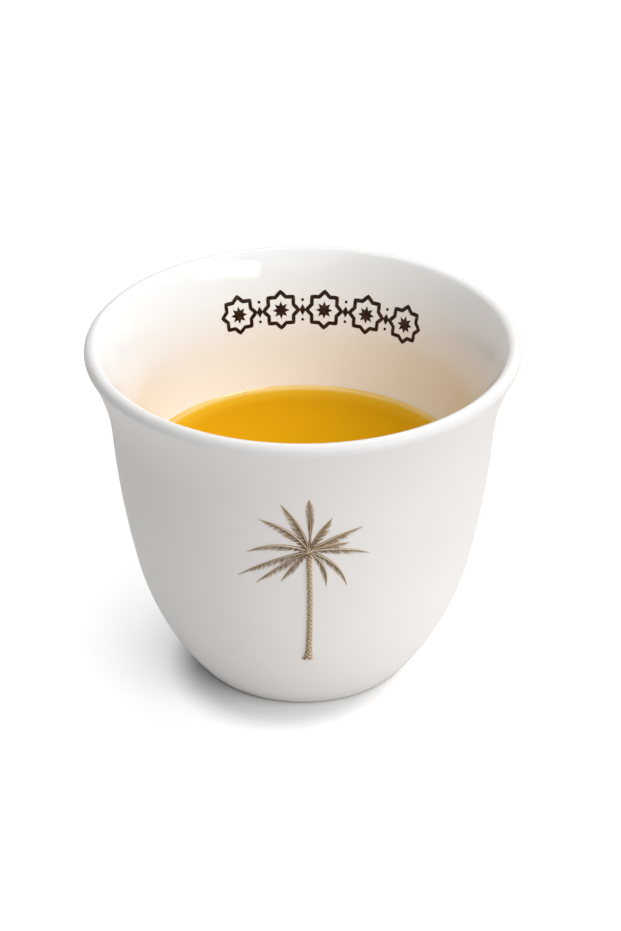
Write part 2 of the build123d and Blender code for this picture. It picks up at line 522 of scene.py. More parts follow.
@dataclass(frozen=True)
class GoldenCoffee(Finish):
    """Lightly roasted coffee, saffron gold, paler towards the wall: thinner where it meets the wall, and with
    painted light on its outer ring, whose back the wall shades.
    """

    name: str = "golden_coffee"
    deep: Colour = (0.62, 0.292, 0.001)
    cloudy: Colour = (0.65, 0.317, 0.0015)
    thin_edge_painted_light: Colour = (0.74, 0.42, 0.02)
    film: Colour = (0.8, 0.55, 0.14)
    ior: float = 1.34
    specular: float = 0.02
    roughness: float = 0.05
    roughness_play: float = 0.03
    wet_roughness: float = 0.04
    wet_ior: float = 1.6
    cloud_size: float = 9.0 * MM
    thin_edge_painted_light_start: float = 21.0 * MM
    film_start: float = 24.4 * MM
    brim: float = 25.66 * MM
    ripple_size: float = 12.0 * MM
    ripple_depth: float = 0.02 * MM

    def paint(self, canvas: Canvas) -> Wire:
        """The finish's shader.

        Args:
            canvas: The material's tree.

        Returns:
            The shader's output.
        """
        place = canvas.spot()
        flat = canvas.vector("MULTIPLY", Vector=place, Vector_001=(1.0, 1.0, 0.0))
        radius = canvas.vector("LENGTH", "Value", Vector=flat)
        clouds = canvas.noise(place, self.cloud_size)
        thin = canvas.rising(radius, self.film_start, self.brim)
        colour = canvas.mixed(clouds, self.deep, self.cloudy)
        # partly painted light: the pale outer ring lifts the coffee's back, which the wall shades; at the
        # wall the coffee also thins
        colour = canvas.mixed(canvas.rising(radius, self.thin_edge_painted_light_start, self.brim), colour, self.thin_edge_painted_light)
        return canvas.add(
            "ShaderNodeBsdfPrincipled",
            Base_Color=canvas.mixed(thin, colour, self.film),
            Roughness=self.roughness + clouds * self.roughness_play,
            IOR=self.ior,
            Specular_IOR_Level=self.specular,
            Coat_Weight=thin,
            Coat_Roughness=self.wet_roughness,
            Coat_IOR=self.wet_ior,
            Normal=canvas.bumped(canvas.noise(place, self.ripple_size), self.ripple_depth),
        )


@dataclass(frozen=True)
class PalmEnamel(Finish):
    """Bronze-brown to beige enamel, laid on by hand: its tone is kept on the points, and holds painted light
    and shade as well as the enamel's own colour.
    """

    name: str = "hand_laid_enamel"
    dark: Colour = (0.09, 0.048, 0.018)
    middle: Colour = (0.49, 0.34, 0.2)
    light: Colour = (0.86, 0.73, 0.55)
    middle_tone: float = 0.45
    tone_play: float = 0.28
    stroke_size: float = 0.5 * MM
    stroke_detail: float = 4.0
    roughness: float = 0.42
    roughness_play: float = 0.2
    bump_depth: float = 0.02 * MM

    def paint(self, canvas: Canvas) -> Wire:
        """The finish's shader.

        Args:
            canvas: The material's tree.

        Returns:
            The shader's output.
        """
        strokes = canvas.noise(canvas.spot(), self.stroke_size, self.stroke_detail)
        tone = canvas.kept("tone") + (strokes - 0.5) * self.tone_play
        colour = canvas.mixed(tone / self.middle_tone, self.dark, self.middle)
        paler = (tone - self.middle_tone) / (1 - self.middle_tone)
        return canvas.add(
            "ShaderNodeBsdfPrincipled",
            Base_Color=canvas.mixed(paler, colour, self.light),
            Roughness=self.roughness + (strokes - 0.5) * self.roughness_play,
            Normal=canvas.bumped(strokes, self.bump_depth),
        )


@dataclass(frozen=True)
class BrownInk(Finish):
    """Dark brown overglaze colour, a little thinner where the brush ran dry."""

    name: str = "brown_ink"
    full: Colour = (0.02, 0.0065, 0.002)
    thin: Colour = (0.06, 0.026, 0.012)
    thinning: tuple[float, float] = (0.45, 0.75)
    patch_size: float = 1.1 * MM
    patch_detail: float = 3.0
    specular: float = 0.15
    roughness: float = 0.22
    roughness_play: float = 0.12

    def paint(self, canvas: Canvas) -> Wire:
        """The finish's shader.

        Args:
            canvas: The material's tree.

        Returns:
            The shader's output.
        """
        patches = canvas.noise(canvas.spot(), self.patch_size, self.patch_detail)
        return canvas.add(
            "ShaderNodeBsdfPrincipled",
            Base_Color=canvas.mixed(canvas.rising(patches, *self.thinning), self.full, self.thin),
            Roughness=self.roughness + patches * self.roughness_play,
            Specular_IOR_Level=self.specular,
        )


@dataclass(frozen=True)
class StudioFloor(Finish):
    """A plain white floor that keeps the cup's shadow, with painted light that whitens it away from the foot
    and keeps the shadow tight.
    """

    name: str = "studio_floor"
    colour: Colour = (0.85, 0.845, 0.84)
    unlit: Colour = (0.0, 0.0, 0.0)
    lit: Colour = (0.38, 0.38, 0.38)
    light_start: float = 13.0 * MM
    light_end: float = 20.0 * MM
    light_centre: tuple[float, float, float] = (-3.0 * MM, -7.0 * MM, 0.0)

    def paint(self, canvas: Canvas) -> Wire:
        """The finish's shader, with painted light where the camera sees it.

        Args:
            canvas: The material's tree.

        Returns:
            The shader's output.
        """
        paper = canvas.add("ShaderNodeBsdfDiffuse", Color=self.colour)
        # painted light: a glow, seen only by the camera, that rises away from a point left of and in front of
        # the foot
        offset = canvas.vector("SUBTRACT", Vector=canvas.spot(), Vector_001=self.light_centre)
        away = canvas.vector("LENGTH", "Value", Vector=offset)
        light = canvas.mixed(canvas.rising(away, self.light_start, self.light_end), self.unlit, self.lit)
        seen = canvas.add("ShaderNodeLightPath", out="Is Camera Ray")
        glow = canvas.add("ShaderNodeEmission", Color=light, Strength=seen)
        return canvas.add("ShaderNodeAddShader", Shader=paper, Shader_001=glow)


# The turned forms


@dataclass(frozen=True)
class Arc:
    """A circular arc of the cup's section, in radii and heights."""

    centre: Vector
    radius: float
    first: float
    last: float

    @classmethod
    def between(cls, centre: Vector, start: Vector, end: Vector) -> "Arc":
        """The shorter arc about a centre from a start to an end.

        Args:
            centre: The arc's centre.
            start: Its first point.
            end: Its last point.

        Returns:
            The arc.
        """
        first = math.atan2(start.y - centre.y, start.x - centre.x)
        last = math.atan2(end.y - centre.y, end.x - centre.x)
        sweep = (last - first + math.pi) % (2 * math.pi) - math.pi
        return cls(centre, (start - centre).length, first, first + sweep)

    def at(self, share: float) -> Vector:
        """The point at a share of the arc."""
        angle = self.first + (self.last - self.first) * share
        return self.centre + self.radius * Vector((math.cos(angle), math.sin(angle)))

    def row(self, steps: int, backwards: bool = False) -> Line:
        """Points along the arc, without its first one."""
        shares = [step / steps for step in range(1, steps + 1)]
        return [self.at(1 - share if backwards else share) for share in shares]


def straight(start: Vector, end: Vector, steps: int) -> Line:
    """Points along a line, without its first one."""
    return [start.lerp(end, step / steps) for step in range(1, steps + 1)]


@dataclass(frozen=True)
class CupSection:
    """The cup's section, from the same sizes as the solids."""

    rim_diameter: float = 66.0 * MM
    height: float = 54.8 * MM
    neck_diameter: float = 58.5 * MM
    neck_height: float = 40.3 * MM
    neck_lean: float = math.radians(3.7)
    belly_diameter: float = 52.4 * MM
    belly_height: float = 18.6 * MM
    foot_diameter: float = 34.6 * MM
    foot_round: float = 0.7 * MM
    wall: float = 3.0 * MM
    lip_thickness: float = 2.3 * MM
    floor_thickness: float = 4.0 * MM
    floor_corner: float = 9.0 * MM
    foot_ring_width: float = 3.0 * MM
    recess_depth: float = 1.8 * MM
    recess_corner: float = 0.6 * MM
    recess_steps: int = 10
    corner_steps: int = 6
    riser_steps: int = 3
    ring_steps: int = 8

    def lip_middle(self) -> Vector:
        """The centre of the rolled lip."""
        half = self.lip_thickness / 2
        return Vector((self.rim_diameter / 2 - half, self.height - half))

    def neck_normal(self) -> Vector:
        """The outward direction at the neck."""
        return Vector((math.cos(self.neck_lean), -math.sin(self.neck_lean)))

    @staticmethod
    def arc_up(low: Vector, high: Vector, normal: Vector) -> Arc:
        """An arc up the outside.

        Args:
            low: Its first point.
            high: Its last point.
            normal: The outward direction at the last point.

        Returns:
            The arc.
        """
        span = low - high
        radius = -span.length_squared / (2 * span.dot(normal))
        return Arc.between(high - normal * radius, low, high)

    def flare(self, neck: Vector, side: int) -> Arc:
        """The arc from the neck to the rolled lip, tangent to both.

        Args:
            neck: Where it starts.
            side: 1 outside, -1 inside.

        Returns:
            The arc.
        """
        lip = side * self.lip_thickness / 2
        span = neck - self.lip_middle()
        bend = (span.length_squared - lip**2) / (2 * (lip - self.neck_normal().dot(span)))
        centre = neck + self.neck_normal() * bend
        end = centre + (self.lip_middle() - centre) * (bend / (bend + lip))
        return Arc.between(centre, neck, end)

    def outer(self) -> tuple[Arc, Arc, Arc]:
        """Bowl, belly and flare of the outside, from the foot up.

        Returns:
            The three arcs.
        """
        neck = Vector((self.neck_diameter / 2, self.neck_height))
        widest = Vector((self.belly_diameter / 2, self.belly_height))
        belly = self.arc_up(widest, neck, self.neck_normal())
        foot = Vector((self.foot_diameter / 2, 0.0))
        bowl = self.arc_up(foot, widest, (widest - belly.centre).normalized())
        return bowl, belly, self.flare(neck, 1)

    def inner(self) -> tuple[Arc, Arc, Arc, Arc]:
        """Floor corner, bowl, belly and flare of the inside, from the floor up.

        Returns:
            The four arcs.
        """
        bowl, belly, _ = self.outer()
        floor = self.recess_depth + self.floor_thickness
        neck = belly.at(1) - self.neck_normal() * self.wall
        widest = belly.at(0) - (belly.at(0) - belly.centre).normalized() * self.wall
        reach = bowl.radius - self.wall - self.floor_corner
        drop = floor + self.floor_corner - bowl.centre.y
        middle = bowl.centre + Vector((math.sqrt(reach**2 - drop**2), drop))
        corner_end = middle + (middle - bowl.centre).normalized() * self.floor_corner
        corner = Arc.between(middle, Vector((middle.x, floor)), corner_end)
        inner_bowl = Arc.between(bowl.centre, corner_end, widest)
        return corner, inner_bowl, Arc.between(belly.centre, widest, neck), self.flare(neck, -1)

    def lip(self) -> Arc:
        """The rolled lip, from the outer flare over the crest to the inner flare."""
        outer_end = self.outer()[-1].at(1)
        return Arc.between(self.lip_middle(), outer_end, self.inner()[-1].at(1))

    def underside(self) -> Line:
        """The recess and the rounded foot ring, from the axis to the bowl.

        Returns:
            Points of the section.
        """
        bowl = self.outer()[0]
        ring = self.foot_diameter / 2 - self.foot_ring_width
        recess = Vector((ring - self.recess_corner, self.recess_depth))
        corner = Arc(recess - Vector((0, self.recess_corner)), self.recess_corner, math.pi / 2, 0.0)
        inner_round = Vector((ring + self.foot_round, self.foot_round))
        inward = Arc(inner_round, self.foot_round, math.pi, 1.5 * math.pi)
        drop = self.foot_round - bowl.centre.y
        reach = bowl.radius - self.foot_round
        outer_round = bowl.centre + Vector((math.sqrt(reach**2 - drop**2), drop))
        bowl_bearing = math.atan2(drop, outer_round.x - bowl.centre.x)
        outward = Arc(outer_round, self.foot_round, -math.pi / 2, bowl_bearing)
        points = [Vector((0, self.recess_depth))]
        points += straight(points[0], recess, self.recess_steps)
        points += corner.row(self.corner_steps)
        points += straight(corner.at(1), inward.at(0), self.riser_steps)
        points += inward.row(self.ring_steps)
        points += straight(inward.at(1), outward.at(0), self.corner_steps)
        return points + outward.row(self.corner_steps)

    def inner_radius(self, height: float) -> float:
        """Distance from the axis to the inner wall at a height above the floor's corner.

        Args:
            height: A height between the floor's corner and the neck.

        Returns:
            The radius there.
        """
        _, bowl, belly, _ = self.inner()
        arc = bowl if height < bowl.at(1).y else belly
        return arc.centre.x + math.sqrt(arc.radius**2 - (height - arc.centre.y) ** 2)


@dataclass
class TurnedForm:
    """A closed form turned about the cup's axis from a section that starts and ends on the axis."""

    name: str
    section: Line
    inside: list[float]
    finish: Finish
    segments: int = 192
    weld: float = 0.001 * MM

    def build(self) -> Object:
        """Turn the section.

        Returns:
            The finished object.
        """
        recipe = Recipe(self.name + "_turning", self, "segments", "weld")
        settings = {"component": "MESH"}
        rows = recipe.add("GeometryNodeAttributeDomainSize", settings, "Point Count", Geometry=recipe.source)
        columns = recipe.value("Segments") + 1.0
        sockets = {"Size_X": 1.0, "Size_Y": 1.0, "Vertices_X": columns, "Vertices_Y": rows}
        sheet = recipe.add("GeometryNodeMeshGrid", **sockets)
        across = recipe.place()
        row = (across.other("Y") + 0.5) * (rows - 1.0)
        index = recipe.add("FunctionNodeFloatToInt", {"rounding_mode": "ROUND"}, Float=row)
        point = recipe.sampled("FLOAT_VECTOR", recipe.add("GeometryNodeInputPosition"), index)
        radius = recipe.parted(point)
        sheet = recipe.store(sheet, "inside", recipe.sampled("FLOAT", recipe.named("inside"), index))
        angle = (across + 0.5) * (2 * math.pi)
        aside = radius * recipe.math("SINE", angle)
        behind = -1.0 * radius * recipe.math("COSINE", angle)
        turned = recipe.combined(aside, behind, radius.other("Z"))
        form = recipe.welded(recipe.moved(sheet, Position=turned), recipe.value("Weld"))
        host = wire_host(self.name, [upright(self.section)], {"inside": self.inside})
        return recipe.made(host, form, self.finish.material())


@dataclass
class PorcelainCup:
    """The fired cup: wall, rolled lip, floor and foot ring."""

    section: CupSection = field(default_factory=CupSection)
    finish: Finish = field(default_factory=GlazedPorcelain)
    long_steps: int = 30
    short_steps: int = 16
    lip_steps: int = 22

    def build(self) -> Object:
        """Turn the cup from its section.

        Returns:
            The cup.
        """
        bowl, belly, flare = self.section.outer()
        corner, inner_bowl, inner_belly, inner_flare = self.section.inner()
        points = self.section.underside()
        whole_bowl = Arc.between(bowl.centre, points[-1], bowl.at(1))
        points += whole_bowl.row(self.long_steps) + belly.row(self.long_steps) + flare.row(self.short_steps)
        inside = [0.0] * len(points)
        points += self.section.lip().row(self.lip_steps)
        inside += [step / self.lip_steps for step in range(1, self.lip_steps + 1)]
        points += inner_flare.row(self.short_steps, backwards=True)
        points += inner_belly.row(self.long_steps, backwards=True)
        points += inner_bowl.row(self.short_steps, backwards=True)
        points += corner.row(self.short_steps, backwards=True)
        points += straight(points[-1], Vector((0.0, points[-1].y)), self.short_steps)
        inside += [1.0] * (len(points) - len(inside))
        cup = TurnedForm("porcelain_cup", points, inside, self.finish).build()
        return settle(cup, Slot.PORCELAIN, "cup_body")


@dataclass
class CoffeeFill:
    """The drink, level in the cup and climbing a little where it wets the wall."""

    section: CupSection = field(default_factory=CupSection)
    finish: Finish = field(default_factory=GoldenCoffee)
    level: float = 32.2 * MM
    meniscus_rise: float = 0.6 * MM
    meniscus_reach: float = 1.6 * MM
    meniscus_power: float = 5.0
    clearance: float = 0.01 * MM
    wall_steps: int = 16
    climb_steps: int = 18
    climb_power: float = 0.6
    brim_share: float = 0.997
    level_steps: int = 30

    def build(self) -> Object:
        """Turn the drink from its section.

        Returns:
            The drink.
        """
        corner, bowl, belly, _ = self.section.inner()
        top = self.level + self.meniscus_rise
        brim = Vector((self.section.inner_radius(top), top))
        wetted = Arc.between(belly.centre, belly.at(0), brim)
        bottom = Vector((0.0, corner.at(0).y))
        points = [bottom, *straight(bottom, corner.at(0), self.wall_steps)]
        points += corner.row(self.wall_steps) + bowl.row(self.wall_steps) + wetted.row(self.wall_steps)
        gap = Vector((self.clearance, 0.0))
        points = [point - gap if point.x > self.clearance else point for point in points]
        points = [Vector((point.x, max(point.y, bottom.y + self.clearance))) for point in points]
        level_end = Vector((points[-1].x - self.meniscus_reach, self.level))
        falling = [1 - step / self.climb_steps for step in range(1, self.climb_steps + 1)]
        for share in [self.brim_share, *(part**self.climb_power for part in falling)]:
            climb = self.meniscus_rise * share**self.meniscus_power
            points.append(level_end + Vector((self.meniscus_reach * share, climb)))
        points += straight(level_end, Vector((0.0, self.level)), self.level_steps)
        drink = TurnedForm("golden_coffee", points, [1.0] * len(points), self.finish).build()
        return settle(drink, Slot.COFFEE, "coffee")


# The palm


@dataclass(frozen=True)
class Frond:
    """One frond's rib: an arc from its root beside the heart to its tip."""

    node: str
    heading: float
    aside: float
    above: float
    paleness: float

    def line(self, heart: Vector, root_reach: float, steps: int) -> Line:
        """Points along the rib, in the flat drawing.

        Args:
            heart: The heart's place.
            root_reach: The root's distance from it.
            steps: The number of steps from root to tip.

        Returns:
            The points.
        """
        heading = math.radians(self.heading)
        root = heart + root_reach * Vector((math.sin(heading), math.cos(heading)))
        span = heart + Vector((self.aside, self.above)) - root
        bearing = math.atan2(span.x, span.y)
        half_turn = (bearing - heading + math.pi) % (2 * math.pi) - math.pi
        radius = span.length / (2 * math.sin(half_turn))
        points = []
        for step in range(steps + 1):
            turned = heading + 2 * half_turn * step / steps
            across = math.cos(heading) - math.cos(turned)
            along = math.sin(turned) - math.sin(heading)
            points.append(root + radius * Vector((across, along)))
        return points

    def hangs_to(self) -> int:
        """The side that the long leaflets hang to, or 0 for an upright frond."""
        return (self.aside > 0) - (self.aside < 0)


@dataclass
class PalmRelief:
    """The raised date palm on the front: a scaly trunk, a heart and thirteen fronds."""

    wall: Object
    finish: Finish = field(default_factory=PalmEnamel)
    heart_height: float = 35.2 * MM
    heart_radius: float = 0.7 * MM
    knob_shape: tuple[float, float, float] = (1.1, 0.24, 1.1)
    knob_sides: int = 20
    knob_rings: int = 12
    knob_painted_side_light: float = 0.25
    rib_end_width: float = 0.2
    rib_end_growth: float = 0.28
    rib_end_tone: float = 0.7
    rib_end_painted_sky_light: float = 0.3
    rib_end_lift: float = 0.4
    rib_end_root_lift: float = 0.12
    rib_end_arch: float = 0.08
    trunk_heading: float = 180.0
    root_gap: float = 0.06 * MM
    trunk_foot_height: float = 13.6 * MM
    trunk_foot_radius: float = 0.93 * MM
    trunk_radius: float = 0.41 * MM
    trunk_lap: float = 0.3 * MM
    trunk_swell: float = 0.35
    trunk_swell_power: float = 5.0
    trunk_flare_power: float = 30.0
    trunk_bow: float = 0.2 * MM
    trunk_points: int = 80
    trunk_sides: int = 16
    trunk_painted_side_light: float = 0.3
    core_share: float = 0.9
    core_tone: float = 0.3
    scale_count: int = 112
    scale_turn: float = 0.381966
    scale_height: float = 0.62 * MM
    scale_width: float = 0.34 * MM
    scale_relief: float = 0.16 * MM
    scale_tilt: float = math.radians(14.0)
    scale_seat: float = 0.88
    scale_sides: int = 8
    scale_rings: int = 6
    scale_tone: float = 0.6
    scale_painted_shade_rise: float = 0.6
    boot_swell: float = 0.5
    boot_power: float = 24.0
    boot_shade: float = 0.3
    rib_width: float = 0.13 * MM
    rib_root_width: float = 0.12 * MM
    rib_relief: float = 0.24 * MM
    rib_sides: int = 8
    rib_painted_sky_light: float = 0.35
    rib_painted_side_light: float = 0.2
    bed_width: float = 0.42 * MM
    bed_relief: float = 0.05 * MM
    painted_shadow_power: float = 1.5
    painted_shadow_tone: float = 0.0
    leaflet_pitch: float = 0.16 * MM
    leaflet_length: float = 1.8 * MM
    short_leaflet_length: float = 0.4 * MM
    upright_leaflet_length: float = 1.1 * MM
    leaflet_room: float = 1.5
    root_share: float = 0.1
    upright_power: float = 1.5
    leaflet_angle: float = math.radians(38.0)
    leaflet_spread: float = 1.9
    leaflet_width: float = 0.1 * MM
    leaflet_relief: float = 0.16 * MM
    leaflet_sag: float = 0.25
    leaflet_root_share: float = 0.16
    leaflet_points: int = 5
    leaflet_sides: int = 5
    leaflet_weld: float = 0.001
    leaflet_root_painted_shade: float = -0.1
    leaflet_tone_rise: float = 0.7
    frond_tone_rise: float = 0.35
    least_play: float = 0.5
    most_play: float = 1.15
    swell_power: float = 0.75
    sink: float = 0.02 * MM
    tip_half_width: float = 0.006 * MM
    least_reach: float = 0.08 * MM
    ray_start: float = -60.0 * MM
    line_steps: int = 28
    seed: int = 7
    fronds: tuple[Frond, ...] = (
        Frond("palm_frond_left_6", -136.0, -4.0 * MM, -5.6 * MM, 0.45),
        Frond("palm_frond_left_5", -120.0, -7.6 * MM, -6.3 * MM, 0.55),
        Frond("palm_frond_left_4", -104.0, -10.2 * MM, -5.4 * MM, 0.55),
        Frond("palm_frond_left_3", -66.0, -8.9 * MM, -0.8 * MM, 0.9),
        Frond("palm_frond_left_2", -30.0, -7.3 * MM, 5.3 * MM, 0.9),
        Frond("palm_frond_left_1", -12.0, -4.1 * MM, 8.3 * MM, 0.6),
        Frond("palm_frond_top", 4.0, 0.0, 9.3 * MM, 0.6),
        Frond("palm_frond_right_1", 20.0, 3.4 * MM, 5.8 * MM, 0.5),
        Frond("palm_frond_right_2", 52.0, 7.8 * MM, 3.6 * MM, 0.6),
        Frond("palm_frond_right_3", 66.0, 5.8 * MM, 1.1 * MM, 0.65),
        Frond("palm_frond_right_4", 80.0, 8.7 * MM, -1.3 * MM, 0.9),
        Frond("palm_frond_right_5", 114.0, 5.5 * MM, -6.8 * MM, 0.6),
        Frond("palm_frond_right_6", 134.0, 2.5 * MM, -6.6 * MM, 0.8),
    )

    def lay(self, recipe: Recipe, drawing: Wire, host: Object, node: str) -> None:
        """Lay a flat drawing on the front of the wall, its back flattened against it, as a finished piece.

        Args:
            recipe: The tree that made the drawing.
            drawing: Geometry across X and up Z, standing off along -Y.
            host: The lines that the tree starts from.
            node: The CAD node that the piece replaces.
        """
        place = recipe.place()
        start = recipe.combined(place, self.ray_start, place.other("Z"))
        relief = recipe.math("MAXIMUM", -1.0 * place.other("Y"), -self.sink)
        on_wall = recipe.laid(drawing, start, (0.0, 1.0, 0.0), relief)
        settle(recipe.made(host, on_wall, self.finish.material()), Slot.PALM_ENAMEL, node)

    def reaches(self, frond: Frond, line: Line, neighbour: Line, side: Side) -> list[float]:
        """The length of the leaflets along one side of a rib.

        Args:
            frond: The rib's frond.
            line: The rib's points.
            neighbour: The points of the next rib, or of the trunk, on that side.
            side: The side.

        Returns:
            A length at each of the rib's points.
        """
        hanging = frond.hangs_to()
        longest = self.leaflet_length if hanging == side.value else self.short_leaflet_length
        longest = longest if hanging else self.upright_leaflet_length
        lengths = []
        for number, point in enumerate(line):
            share = number / (len(line) - 1)
            room = min((point - other).length for other in neighbour) - self.rib_width / 2
            room = room * self.leaflet_room / math.sin(self.leaflet_angle)
            grown = self.root_share + (1 - self.root_share) * share
            swell = math.sin(math.pi * (grown**self.swell_power if hanging else share**self.upright_power))
            full = longest * max(swell, 0.0)
            lengths.append(max(min(full, room), self.least_reach))
        return lengths

    def unit_leaflet(self, recipe: Recipe) -> Wire:
        """A pointed leaflet along X, one unit long, darker at its root with painted shade beside the rib.

        Args:
            recipe: The tree that uses it.

        Returns:
            The leaflet's mesh.
        """
        line = recipe.add("GeometryNodeCurvePrimitiveLine", Start=(0, 0, 0), End=(1, 0, 0))
        line = recipe.add("GeometryNodeResampleCurve", Curve=line, Count=self.leaflet_points)
        grown = self.leaflet_root_share + (1 - self.leaflet_root_share) * recipe.share()
        leaf = recipe.swept(line, recipe.math("SINE", grown * math.pi), self.leaflet_sides)
        tone = self.leaflet_tone_rise * recipe.place() + self.leaflet_root_painted_shade
        return recipe.store(recipe.welded(leaf, self.leaflet_weld), "tone", tone)

    def leaflets(self, recipe: Recipe, leaf: Wire, side: Side) -> Wire:
        """Leaflets along one side of a rib.

        Args:
            recipe: The frond's tree.
            leaf: One leaflet.
            side: The side.

        Returns:
            The leaflets' mesh, paler towards the frond's tip.
        """
        sockets = {"Curve": recipe.curve(), "Length": recipe.value("Leaflet Pitch")}
        points = recipe.add("GeometryNodeCurveToPoints", {"mode": "LENGTH"}, **sockets)
        sockets = {"Min_001": self.least_play, "Max_001": self.most_play, "Seed": self.seed + side.value}
        play = recipe.add("FunctionNodeRandomValue", {"data_type": "FLOAT"}, "Value_001", **sockets)
        angle = recipe.value("Leaflet Angle") * (self.leaflet_spread - play)
        forward = recipe.math("COSINE", angle)
        sideways = recipe.math("SINE", angle) * float(side.value)
        tangent = recipe.parted(points.other("Tangent"))
        rise = tangent.other("Z")
        across = tangent * forward + rise * sideways
        upwards = rise * forward - tangent * sideways - recipe.value("Leaflet Sag")
        way = recipe.combined(across, 0.0, upwards)
        turn = recipe.add("FunctionNodeAlignRotationToVector", {"axis": "X", "pivot_axis": "Y"}, Vector=way)
        length = recipe.named(side.attribute()) * play
        size = recipe.combined(length, recipe.value("Leaflet Relief"), recipe.value("Leaflet Width") * 0.5)
        leaves = recipe.realized(recipe.copied(points, leaf, Rotation=turn, Scale=size))
        tone = recipe.named("tone") + self.frond_tone_rise * recipe.named("along")
        return recipe.store(leaves, "tone", tone)

    def strip(self, recipe: Recipe, label: str, half_width: Wire, tone: Number) -> Wire:
        """A raised strip along a frond's line.

        Args:
            recipe: The frond's tree.
            label: The word that its inputs for width and relief begin with.
            half_width: Half its width along the line.
            tone: Its tone.

        Returns:
            The strip's mesh.
        """
        tapered = recipe.math("MAXIMUM", half_width, self.tip_half_width)
        strip = recipe.store(recipe.swept(recipe.curve(), tapered, self.rib_sides), "tone", tone)
        height = recipe.value(label + " Relief") / recipe.value(label + " Width") * 2.0
        return recipe.shifted(strip, Scale=recipe.combined(1.0, height, 1.0))

    def build_frond(self, frond: Frond, line: Line, neighbours: dict[Side, Line]) -> None:
        """Make one frond and lay it on the wall.

        Args:
            frond: The frond.
            line: Its rib's points.
            neighbours: The lines beside it.
        """
        fields = ["rib_width", "rib_root_width", "rib_relief", "bed_width", "bed_relief", "wall"]
        fields += ["leaflet_pitch", "leaflet_width", "leaflet_relief", "leaflet_angle", "leaflet_sag"]
        recipe = Recipe(frond.node + "_growing", self, *fields, paleness=frond.paleness)
        share = recipe.share()
        root_width = recipe.value("Rib Root Width")
        # the rib has its full width half way along
        swell = recipe.value("Rib Width") * 4.0 - root_width * 2.0
        rib_half = 0.5 * (1.0 - share) * (root_width + swell * share)
        # painted shadow: a flat dark strip under each rib, where the leaflets' shade falls
        painted_shadow_half = 0.5 * recipe.value("Bed Width") * (1.0 - share) ** self.painted_shadow_power
        # painted light: the rib paler on faces that look up and to the right
        tone = recipe.shaded(recipe.value("Paleness"), self.rib_painted_sky_light, self.rib_painted_side_light)
        leaf = self.unit_leaflet(recipe)
        drawing = recipe.joined(
            self.strip(recipe, "Rib", rib_half, tone),
            self.strip(recipe, "Bed", painted_shadow_half, self.painted_shadow_tone),
            *(self.leaflets(recipe, leaf, side) for side in Side),
        )
        numbers = {side.attribute(): self.reaches(frond, line, neighbours[side], side) for side in Side}
        numbers["along"] = [step / self.line_steps for step in range(self.line_steps + 1)]
        self.lay(recipe, drawing, wire_host(frond.node + "_relief", [upright(line)], numbers), frond.node)

    def build_fronds(self) -> None:
        """Make every frond, each between its neighbours round the heart."""
        heart = Vector((0.0, self.heart_height))
        reach = self.heart_radius + self.root_gap
        trunk = straight(Vector((0.0, self.trunk_foot_height)), heart, self.line_steps)
        lines = [frond.line(heart, reach, self.line_steps) for frond in self.fronds]
        ring = [trunk, *lines, trunk]
        for number, frond in enumerate(self.fronds):
            neighbours = {Side.LEFT: ring[number], Side.RIGHT: ring[number + 2]}
            self.build_frond(frond, lines[number], neighbours)

    def trunk_scales(self, recipe: Recipe) -> Wire:
        """The old leaf bases round the front of the trunk, in a spiral.

        Args:
            recipe: The trunk's tree.

        Returns:
            The leaf bases' mesh, paler towards their tops, with painted shade on their lower parts.
        """
        sockets = {"Segments": self.scale_sides, "Rings": self.scale_rings, "Radius": 0.5}
        ball = recipe.add("GeometryNodeMeshUVSphere", **sockets)
        # painted shade: each leaf base darker on its lower part, under the one above
        ball = recipe.store(ball, "tone", self.scale_tone + self.scale_painted_shade_rise * recipe.place().other("Z"))
        sockets = {"Curve": recipe.curve(), "Count": recipe.value("Scale Count")}
        points = recipe.add("GeometryNodeCurveToPoints", **sockets)
        number = recipe.add("GeometryNodeInputIndex")
        turn = (recipe.math("FRACT", number * self.scale_turn) - 0.5) * math.pi
        reach = recipe.value("Trunk Radius") * self.scale_seat
        forward = -1.0 * reach * recipe.math("COSINE", turn)
        points = recipe.moved(points, Offset=recipe.combined(reach * recipe.math("SINE", turn), forward, 0.0))
        tilt = recipe.combined(self.scale_tilt, 0.0, turn)
        lean = recipe.add("FunctionNodeEulerToRotation", Euler=tilt)
        size = recipe.combined(*(recipe.value("Scale " + word) for word in ("Width", "Relief", "Height")))
        return recipe.realized(recipe.copied(points, ball, Rotation=lean, Scale=size))

    def build_trunk(self) -> None:
        """Make the scaly trunk, which spreads at its foot and under the heart."""
        foot = self.trunk_foot_height
        top = self.heart_height - self.trunk_lap
        fields = ["trunk_radius", "trunk_swell", "trunk_foot_radius", "trunk_flare_power", "trunk_bow"]
        fields += ["boot_swell", "scale_count", "scale_height", "scale_width", "scale_relief", "wall"]
        recipe = Recipe("palm_trunk_scaling", self, *fields)
        radius = recipe.value("Trunk Radius")
        core = recipe.add("GeometryNodeResampleCurve", Curve=recipe.curve(), Count=self.trunk_points)
        core = recipe.swept(core, radius * self.core_share, self.trunk_sides)
        trunk = recipe.joined(recipe.store(core, "tone", self.core_tone), self.trunk_scales(recipe))
        place = recipe.place()
        height = recipe.math("MINIMUM", recipe.math("MAXIMUM", place.other("Z"), foot), top)
        share = (height - foot) / (top - foot)
        boot = share**self.boot_power
